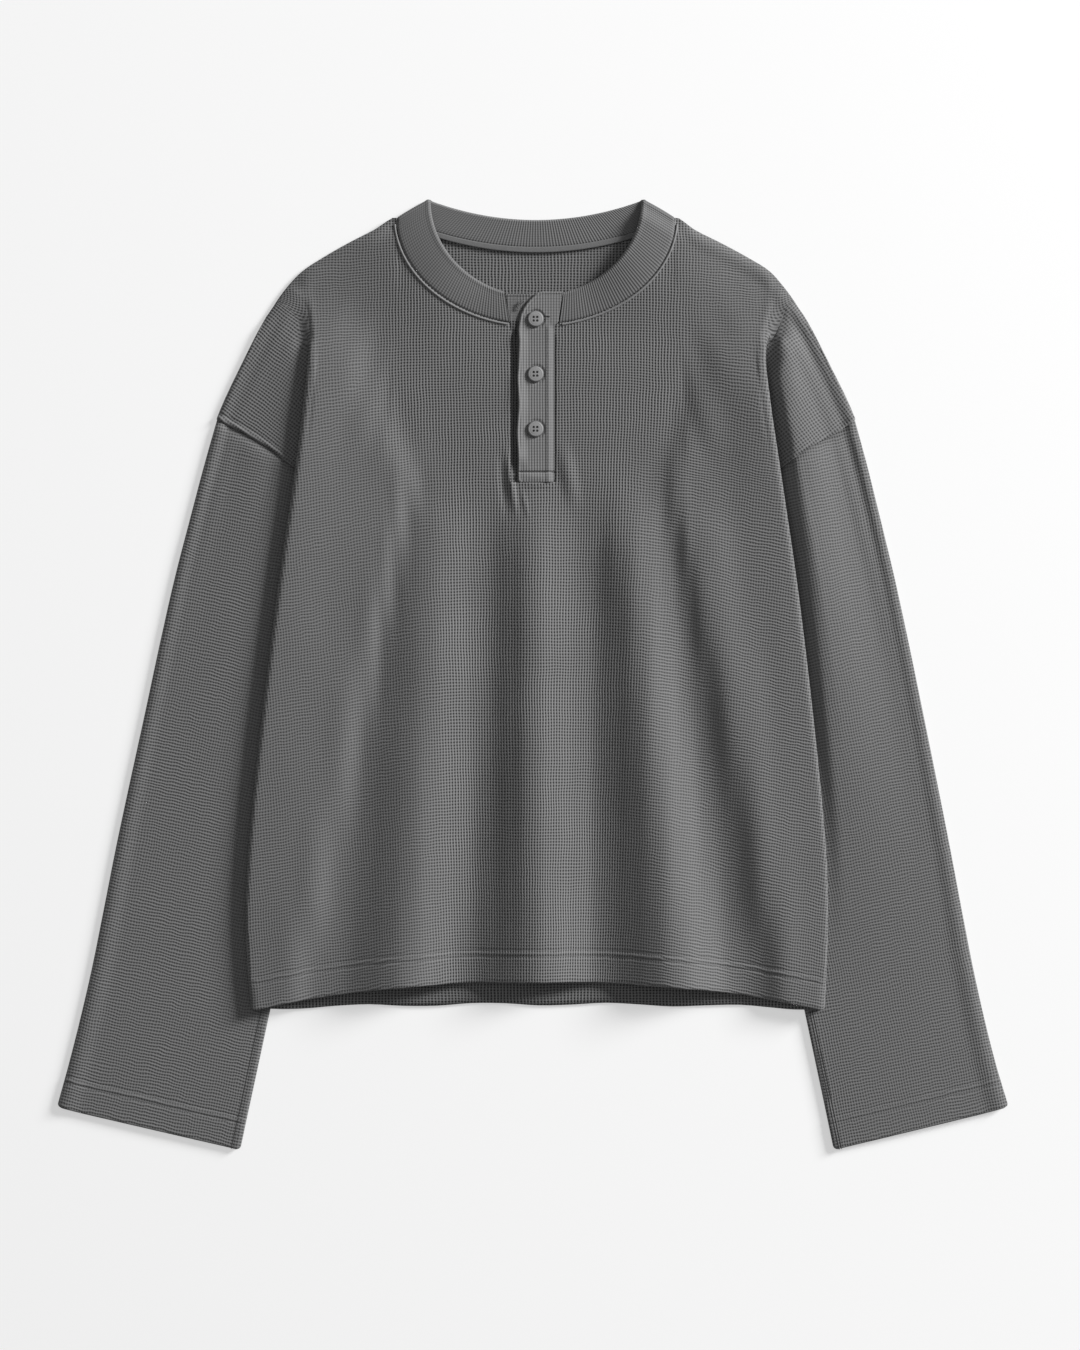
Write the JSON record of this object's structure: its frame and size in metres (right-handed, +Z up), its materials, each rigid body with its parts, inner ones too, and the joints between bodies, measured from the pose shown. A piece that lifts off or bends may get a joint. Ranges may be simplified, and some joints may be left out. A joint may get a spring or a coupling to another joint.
{
  "type": "henley shirt",
  "caption": "Long-sleeved waffle-knit henley shirt with a rib neck band and a buttoned placket, laid flat on its back with its sleeves tucked beside the body.",
  "frame": {"origin": "middle of the bounding box, on the surface that the shirt lies on", "axes": "+Y from hem to neck, +Z up out of the front of the lying shirt, +X towards the wearer's left sleeve"},
  "size_m": [0.7616, 0.7617, 0.0203],
  "materials": {
    "front_waffle": "matte charcoal grey waffle knit",
    "back_waffle": "matte charcoal grey waffle knit",
    "right_sleeve_waffle": "matte charcoal grey waffle knit",
    "left_sleeve_waffle": "matte charcoal grey waffle knit",
    "band_rib": "matte charcoal grey rib knit",
    "tape_cotton": "smooth grey cotton tape",
    "placket_rib": "matte charcoal grey rib knit",
    "under_placket_rib": "matte charcoal grey rib knit",
    "button_plastic": "satin grey"
  },
  "bodies": {
    "root": {"front": "front_waffle", "back": "back_waffle", "sleeve_right": "right_sleeve_waffle", "sleeve_left": "left_sleeve_waffle", "neck_band": "band_rib", "neck_tape": "tape_cotton", "placket_top": "placket_rib", "placket_under": "under_placket_rib", "button_1": "button_plastic", "button_2": "button_plastic", "button_3": "button_plastic"}
  },
  "joints": []
}
